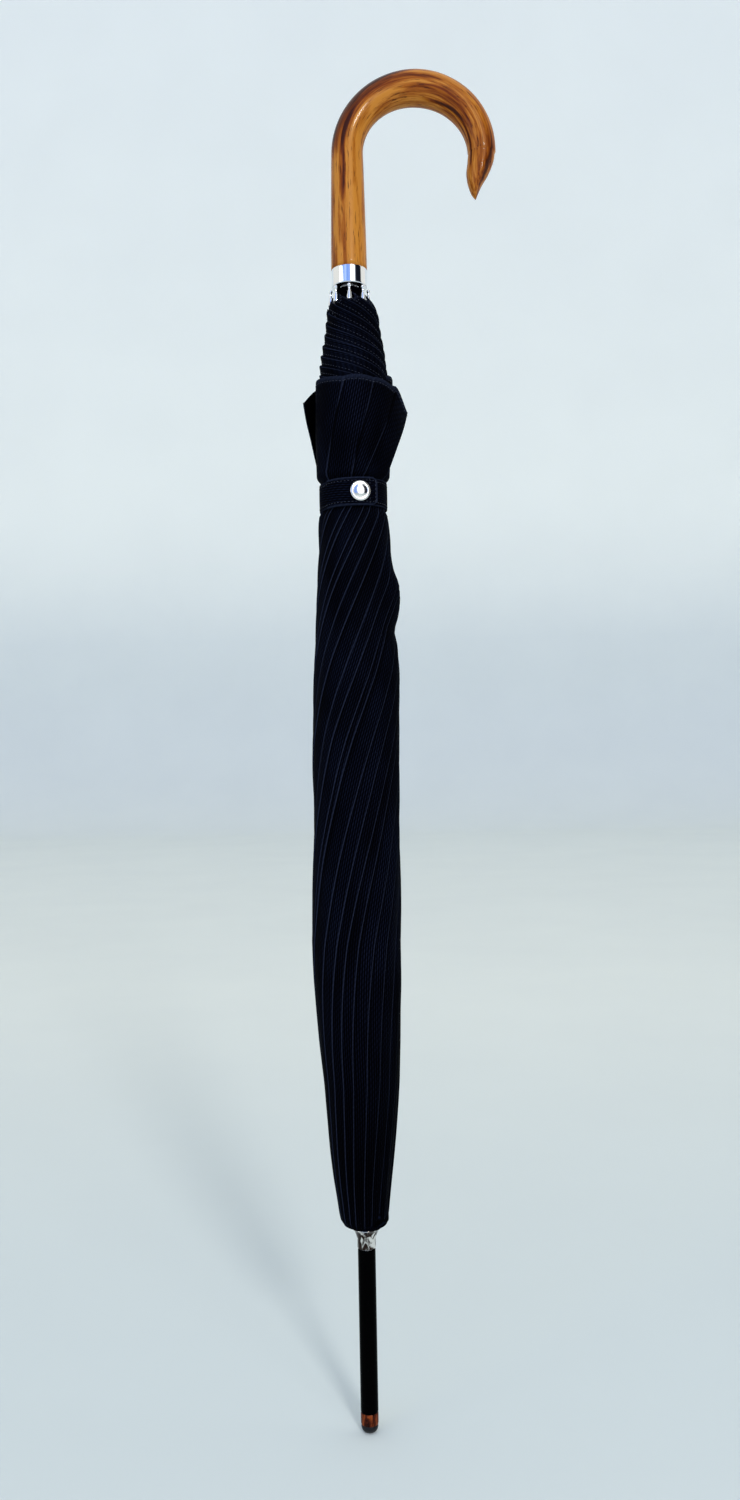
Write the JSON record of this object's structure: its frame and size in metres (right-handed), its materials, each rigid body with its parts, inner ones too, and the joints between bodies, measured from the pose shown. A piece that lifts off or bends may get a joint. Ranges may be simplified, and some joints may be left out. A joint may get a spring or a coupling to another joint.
{
  "type": "stick umbrella",
  "caption": "Stick umbrella, furled and strapped, with a wooden crook handle, chrome collar, steel shaft and dark twill canopy that opens on hinged ribs.",
  "frame": {"origin": "centre of the small flat at the end of the ferrule's tip, on the axis of the stick", "axes": "+Z along the stick from the ferrule's tip to the handle; the crook opens towards +X; the strap's press stud faces -Y"},
  "size_m": [0.1302, 0.065, 0.9042],
  "materials": {
    "crook_wood": "clear lacquered light wood with darker grain streaks",
    "chrome_trim": "polished",
    "shaft_steel": "bright drawn steel tube",
    "frame_black": "black enamelled rib steel",
    "ferrule_black": "glossy black",
    "band_brown": "red brown lacquer band",
    "tip_metal": "dark metal",
    "runner_plastic": "moulded black",
    "wire_steel": "plain wire",
    "canopy_cloth": "blue black twill, slight sheen",
    "snap_nickel": "polished nickel plate"
  },
  "bodies": {
    "root": {"ferrule_tip": "tip_metal", "ferrule_band": "band_brown", "ferrule": "ferrule_black", "open_cap": "chrome_trim", "shaft": "shaft_steel", "collar": "chrome_trim", "handle": "crook_wood", "notch": "runner_plastic", "notch_wire": "wire_steel", "stop_pin": "wire_steel", "catch_pins": "wire_steel", "canopy_crown": "canopy_cloth"},
    "runner": {"runner": "runner_plastic", "runner_wire": "wire_steel"},
    "bottom_catch": {"bottom_catch": "shaft_steel"},
    "top_catch": {"top_catch": "shaft_steel"},
    "rib_1": {"rib_1": "frame_black", "rib_tip_1": "chrome_trim", "strap": "canopy_cloth", "snap_stud": "snap_nickel"},
    "rib_2": {"rib_2": "frame_black", "rib_tip_2": "chrome_trim"},
    "rib_3": {"rib_3": "frame_black", "rib_tip_3": "chrome_trim"},
    "rib_4": {"rib_4": "frame_black", "rib_tip_4": "chrome_trim"},
    "rib_5": {"rib_5": "frame_black", "rib_tip_5": "chrome_trim"},
    "rib_6": {"rib_6": "frame_black", "rib_tip_6": "chrome_trim"},
    "rib_7": {"rib_7": "frame_black", "rib_tip_7": "chrome_trim"},
    "rib_8": {"rib_8": "frame_black", "rib_tip_8": "chrome_trim"},
    "stretcher_1": {"stretcher_1": "frame_black"},
    "stretcher_2": {"stretcher_2": "frame_black"},
    "stretcher_3": {"stretcher_3": "frame_black"},
    "stretcher_4": {"stretcher_4": "frame_black"},
    "stretcher_5": {"stretcher_5": "frame_black"},
    "stretcher_6": {"stretcher_6": "frame_black"},
    "stretcher_7": {"stretcher_7": "frame_black"},
    "stretcher_8": {"stretcher_8": "frame_black"},
    "gore_1": {"canopy_gore_1": "canopy_cloth"},
    "gore_2": {"canopy_gore_2": "canopy_cloth"},
    "gore_3": {"canopy_gore_3": "canopy_cloth"},
    "gore_4": {"canopy_gore_4": "canopy_cloth"},
    "gore_5": {"canopy_gore_5": "canopy_cloth"},
    "gore_6": {"canopy_gore_6": "canopy_cloth"},
    "gore_7": {"canopy_gore_7": "canopy_cloth"},
    "gore_8": {"canopy_gore_8": "canopy_cloth"},
    "strap_tab": {"strap_tab": "canopy_cloth", "snap_cap": "snap_nickel"}
  },
  "joints": [
    {"name": "runner_slide", "type": "slide", "parent": "root", "child": "runner", "axis": [0, 0, -1], "range_m": [0, 0.43317], "deforming": ["strap"]},
    {"name": "rib_hinge_1", "type": "hinge", "parent": "root", "child": "rib_1", "pos_m": [0, -0.008, 0.1435], "axis": [1, 0, 0], "range_deg": [0, 75.01]},
    {"name": "rib_hinge_2", "type": "hinge", "parent": "root", "child": "rib_2", "pos_m": [0.00566, -0.00566, 0.1435], "axis": [0.7071, 0.7071, 0], "range_deg": [0, 75.01]},
    {"name": "rib_hinge_3", "type": "hinge", "parent": "root", "child": "rib_3", "pos_m": [0.008, 0, 0.1435], "axis": [0, 1, 0], "range_deg": [0, 75.01]},
    {"name": "rib_hinge_4", "type": "hinge", "parent": "root", "child": "rib_4", "pos_m": [0.00566, 0.00566, 0.1435], "axis": [-0.7071, 0.7071, 0], "range_deg": [0, 75.01]},
    {"name": "rib_hinge_5", "type": "hinge", "parent": "root", "child": "rib_5", "pos_m": [0, 0.008, 0.1435], "axis": [-1, 0, 0], "range_deg": [0, 75.01]},
    {"name": "rib_hinge_6", "type": "hinge", "parent": "root", "child": "rib_6", "pos_m": [-0.00566, 0.00566, 0.1435], "axis": [-0.7071, -0.7071, 0], "range_deg": [0, 75.01]},
    {"name": "rib_hinge_7", "type": "hinge", "parent": "root", "child": "rib_7", "pos_m": [-0.008, 0, 0.1435], "axis": [0, -1, 0], "range_deg": [0, 75.01]},
    {"name": "rib_hinge_8", "type": "hinge", "parent": "root", "child": "rib_8", "pos_m": [-0.00566, -0.00566, 0.1435], "axis": [0.7071, -0.7071, 0], "range_deg": [0, 75.01]},
    {"name": "stretcher_hinge_1", "type": "hinge", "parent": "rib_1", "child": "stretcher_1", "pos_m": [0, -0.0123, 0.4285], "axis": [1, 0, 0], "range_deg": [-151.02, 0]},
    {"name": "stretcher_hinge_2", "type": "hinge", "parent": "rib_2", "child": "stretcher_2", "pos_m": [0.0087, -0.0087, 0.4285], "axis": [0.7071, 0.7071, 0], "range_deg": [-151.02, 0]},
    {"name": "stretcher_hinge_3", "type": "hinge", "parent": "rib_3", "child": "stretcher_3", "pos_m": [0.0123, 0, 0.4285], "axis": [0, 1, 0], "range_deg": [-151.02, 0]},
    {"name": "stretcher_hinge_4", "type": "hinge", "parent": "rib_4", "child": "stretcher_4", "pos_m": [0.0087, 0.0087, 0.4285], "axis": [-0.7071, 0.7071, 0], "range_deg": [-151.02, 0]},
    {"name": "stretcher_hinge_5", "type": "hinge", "parent": "rib_5", "child": "stretcher_5", "pos_m": [0, 0.0123, 0.4285], "axis": [-1, 0, 0], "range_deg": [-151.02, 0]},
    {"name": "stretcher_hinge_6", "type": "hinge", "parent": "rib_6", "child": "stretcher_6", "pos_m": [-0.0087, 0.0087, 0.4285], "axis": [-0.7071, -0.7071, 0], "range_deg": [-151.02, 0]},
    {"name": "stretcher_hinge_7", "type": "hinge", "parent": "rib_7", "child": "stretcher_7", "pos_m": [-0.0123, 0, 0.4285], "axis": [0, -1, 0], "range_deg": [-151.02, 0]},
    {"name": "stretcher_hinge_8", "type": "hinge", "parent": "rib_8", "child": "stretcher_8", "pos_m": [-0.0087, -0.0087, 0.4285], "axis": [0.7071, -0.7071, 0], "range_deg": [-151.02, 0]},
    {"name": "gore_hinge_1", "type": "hinge", "parent": "rib_1", "child": "gore_1", "pos_m": [0.00331, -0.008, 0.1435], "axis": [-0.3122, 0.7537, -0.5783], "range_deg": [0, 53.9]},
    {"name": "gore_hinge_2", "type": "hinge", "parent": "rib_2", "child": "gore_2", "pos_m": [0.008, -0.00331, 0.1435], "axis": [-0.7537, 0.3122, -0.5783], "range_deg": [0, 53.9]},
    {"name": "gore_hinge_3", "type": "hinge", "parent": "rib_3", "child": "gore_3", "pos_m": [0.008, 0.00331, 0.1435], "axis": [-0.7537, -0.3122, -0.5783], "range_deg": [0, 53.9]},
    {"name": "gore_hinge_4", "type": "hinge", "parent": "rib_4", "child": "gore_4", "pos_m": [0.00331, 0.008, 0.1435], "axis": [-0.3122, -0.7537, -0.5783], "range_deg": [0, 53.9]},
    {"name": "gore_hinge_5", "type": "hinge", "parent": "rib_5", "child": "gore_5", "pos_m": [-0.00331, 0.008, 0.1435], "axis": [0.3122, -0.7537, -0.5783], "range_deg": [0, 53.9]},
    {"name": "gore_hinge_6", "type": "hinge", "parent": "rib_6", "child": "gore_6", "pos_m": [-0.008, 0.00331, 0.1435], "axis": [0.7537, -0.3122, -0.5783], "range_deg": [0, 53.9]},
    {"name": "gore_hinge_7", "type": "hinge", "parent": "rib_7", "child": "gore_7", "pos_m": [-0.008, -0.00331, 0.1435], "axis": [0.7537, 0.3122, -0.5783], "range_deg": [0, 53.9]},
    {"name": "gore_hinge_8", "type": "hinge", "parent": "rib_8", "child": "gore_8", "pos_m": [-0.00331, -0.008, 0.1435], "axis": [0.3122, 0.7537, -0.5783], "range_deg": [0, 53.9]},
    {"name": "bottom_catch_press", "type": "hinge", "parent": "root", "child": "bottom_catch", "pos_m": [0.00011, -0.00028, 0.7125], "axis": [-0.9239, -0.3827, 0], "range_deg": [0, 7], "stiffness_Nm_per_rad": 0.1},
    {"name": "top_catch_press", "type": "hinge", "parent": "root", "child": "top_catch", "pos_m": [0.00011, -0.00028, 0.33363], "axis": [0.9239, 0.3827, 0], "range_deg": [0, 7], "stiffness_Nm_per_rad": 0.1},
    {"name": "strap_tab_lift", "type": "hinge", "parent": "rib_1", "child": "strap_tab", "pos_m": [-0.0175, -0.0175, 0.62], "axis": [0, 0, -1], "range_deg": [0, 110]}
  ],
  "couplings": [
    {"joint": "rib_hinge_1", "follows": "runner_slide", "rad_per_m": 3.0219},
    {"joint": "rib_hinge_2", "follows": "runner_slide", "rad_per_m": 3.0219},
    {"joint": "rib_hinge_3", "follows": "runner_slide", "rad_per_m": 3.0219},
    {"joint": "rib_hinge_4", "follows": "runner_slide", "rad_per_m": 3.0219},
    {"joint": "rib_hinge_5", "follows": "runner_slide", "rad_per_m": 3.0219},
    {"joint": "rib_hinge_6", "follows": "runner_slide", "rad_per_m": 3.0219},
    {"joint": "rib_hinge_7", "follows": "runner_slide", "rad_per_m": 3.0219},
    {"joint": "rib_hinge_8", "follows": "runner_slide", "rad_per_m": 3.0219},
    {"joint": "stretcher_hinge_1", "follows": "runner_slide", "rad_per_m": -6.0845},
    {"joint": "stretcher_hinge_2", "follows": "runner_slide", "rad_per_m": -6.0845},
    {"joint": "stretcher_hinge_3", "follows": "runner_slide", "rad_per_m": -6.0845},
    {"joint": "stretcher_hinge_4", "follows": "runner_slide", "rad_per_m": -6.0845},
    {"joint": "stretcher_hinge_5", "follows": "runner_slide", "rad_per_m": -6.0845},
    {"joint": "stretcher_hinge_6", "follows": "runner_slide", "rad_per_m": -6.0845},
    {"joint": "stretcher_hinge_7", "follows": "runner_slide", "rad_per_m": -6.0845},
    {"joint": "stretcher_hinge_8", "follows": "runner_slide", "rad_per_m": -6.0845},
    {"joint": "gore_hinge_1", "follows": "runner_slide", "rad_per_m": 2.1712},
    {"joint": "gore_hinge_2", "follows": "runner_slide", "rad_per_m": 2.1712},
    {"joint": "gore_hinge_3", "follows": "runner_slide", "rad_per_m": 2.1712},
    {"joint": "gore_hinge_4", "follows": "runner_slide", "rad_per_m": 2.1712},
    {"joint": "gore_hinge_5", "follows": "runner_slide", "rad_per_m": 2.1712},
    {"joint": "gore_hinge_6", "follows": "runner_slide", "rad_per_m": 2.1712},
    {"joint": "gore_hinge_7", "follows": "runner_slide", "rad_per_m": 2.1712},
    {"joint": "gore_hinge_8", "follows": "runner_slide", "rad_per_m": 2.1712}
  ]
}
